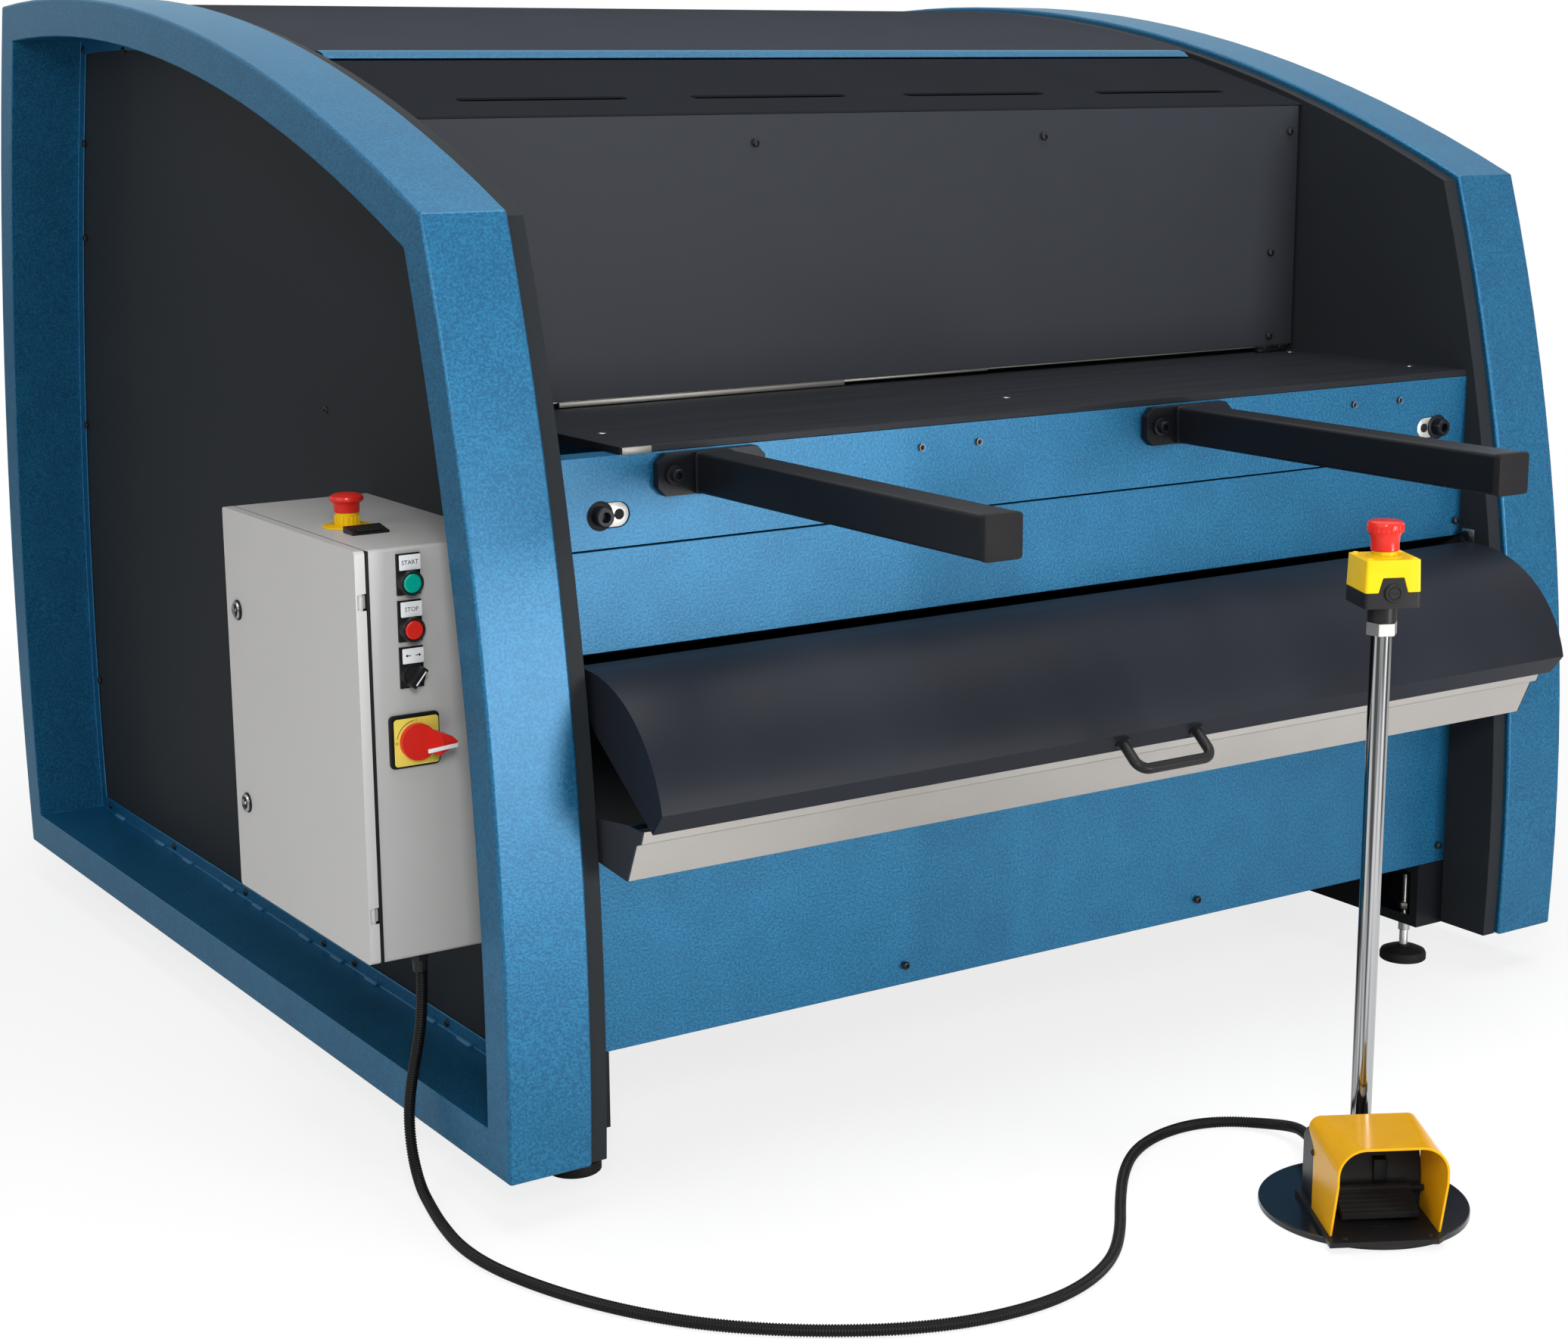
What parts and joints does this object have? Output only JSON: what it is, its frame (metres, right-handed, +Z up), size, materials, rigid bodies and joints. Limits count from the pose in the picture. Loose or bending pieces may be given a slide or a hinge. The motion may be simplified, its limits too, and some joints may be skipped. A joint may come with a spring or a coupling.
{
  "type": "motorized plate shear",
  "caption": "Motorized plate shear with blue side frames, a guarded throat over a table, support arms, a hinged chute cover, a side cabinet and a foot pedal with an emergency stop on a pole.",
  "frame": {"origin": "middle of the base on the floor, centred on the object's box", "axes": "+X to the right and +Y to the back seen from the operator's side, +Z up"},
  "size_m": [1.8604, 2.4007, 1.4444],
  "materials": {
    "blue_hammer": "hammered metallic",
    "dark_paint": "satin powder coat",
    "black_table": "brushed black oxide",
    "black_steel": "black paint",
    "bright_steel": "bright sheet steel",
    "light_grey": "light grey textured powder coat",
    "chrome": "polished",
    "black_plastic": "matte",
    "green_plastic": "gloss",
    "red_plastic": "gloss",
    "yellow_plastic": "gloss"
  },
  "bodies": {
    "root": {"left_side_ring": "blue_hammer", "right_side_ring": "blue_hammer", "left_side_plate": "dark_paint", "right_side_plate": "dark_paint", "table_top": "black_table", "table_beam": "blue_hammer", "upper_front_panel": "blue_hammer", "lower_front_panel": "blue_hammer", "front_guard": "dark_paint", "hold_down_bar": "bright_steel", "vent_panel": "dark_paint", "trim_strip": "blue_hammer", "top_cover": "dark_paint", "rear_upper_panel": "dark_paint", "rear_lower_panel": "blue_hammer", "base_rails": "black_steel", "levelling_feet": "black_steel", "left_arm": "black_steel", "right_arm": "black_steel", "chute_slide": "black_steel", "chute_tray": "bright_steel", "tray_ends": "black_steel", "cover_hinges": "black_steel", "cabinet_body": "light_grey", "door_hinges": "bright_steel", "control_holders": "black_plastic", "main_switch_plate": "yellow_plastic", "cabinet_estop_base": "yellow_plastic", "counter": "black_plastic", "cabinet_gland": "black_plastic", "station_disc": "black_steel", "pedal_base": "black_plastic", "pedal_housing": "black_plastic", "pedal_hood": "yellow_plastic", "treadle_pin": "bright_steel", "pedal_gland": "black_plastic", "station_pole": "chrome", "pole_nut": "bright_steel", "pole_nipple": "black_plastic", "station_box_base": "black_plastic", "station_box_lid": "yellow_plastic", "conduit": "black_plastic"},
    "chute_cover": {"chute_cover": "dark_paint", "chute_handle": "black_plastic"},
    "cabinet_door": {"cabinet_door": "light_grey"},
    "upper_lock": {"upper_door_lock": "chrome"},
    "lower_lock": {"lower_door_lock": "chrome"},
    "start_button": {"start_button": "green_plastic"},
    "stop_button": {"stop_button": "red_plastic"},
    "selector": {"selector_knob": "black_plastic"},
    "main_switch": {"main_switch_knob": "red_plastic"},
    "cabinet_estop": {"cabinet_estop_button": "red_plastic"},
    "station_estop": {"station_estop_button": "red_plastic"},
    "treadle": {"treadle": "black_plastic"}
  },
  "joints": [
    {"name": "chute_cover_hinge", "type": "hinge", "parent": "root", "child": "chute_cover", "pos_m": [0.04525, -0.48433, 0.656], "axis": [-1, 0, 0], "range_deg": [0, 70]},
    {"name": "cabinet_door_hinge", "type": "hinge", "parent": "root", "child": "cabinet_door", "pos_m": [-0.91875, -0.38453, 0.552], "axis": [0, 0, 1], "range_deg": [0, 110]},
    {"name": "upper_lock_turn", "type": "hinge", "parent": "cabinet_door", "child": "upper_lock", "pos_m": [-0.92525, -0.02053, 0.6735], "axis": [1, 0, 0], "range_deg": [0, 90]},
    {"name": "lower_lock_turn", "type": "hinge", "parent": "cabinet_door", "child": "lower_lock", "pos_m": [-0.92525, -0.02053, 0.4215], "axis": [1, 0, 0], "range_deg": [0, 90]},
    {"name": "start_press", "type": "slide", "parent": "root", "child": "start_button", "axis": [0, 1, 0], "range_m": [0, 0.004], "stiffness_N_per_m": 300},
    {"name": "stop_press", "type": "slide", "parent": "root", "child": "stop_button", "axis": [0, 1, 0], "range_m": [0, 0.004], "stiffness_N_per_m": 300},
    {"name": "selector_turn", "type": "hinge", "parent": "root", "child": "selector", "pos_m": [-0.85925, -0.40153, 0.649], "axis": [0, -1, 0], "range_deg": [0, 90]},
    {"name": "main_switch_turn", "type": "hinge", "parent": "root", "child": "main_switch", "pos_m": [-0.85925, -0.40153, 0.5708], "axis": [0, -1, 0], "range_deg": [0, 90]},
    {"name": "cabinet_estop_press", "type": "slide", "parent": "root", "child": "cabinet_estop", "axis": [0, 0, -1], "range_m": [0, 0.004]},
    {"name": "station_estop_press", "type": "slide", "parent": "root", "child": "station_estop", "axis": [0, 0, -1], "range_m": [0, 0.004]},
    {"name": "treadle_press", "type": "hinge", "parent": "root", "child": "treadle", "pos_m": [0.02392, -1.09494, 0.044], "axis": [0.8755, -0.4833, 0], "range_deg": [0, 8], "stiffness_Nm_per_rad": 6}
  ]
}
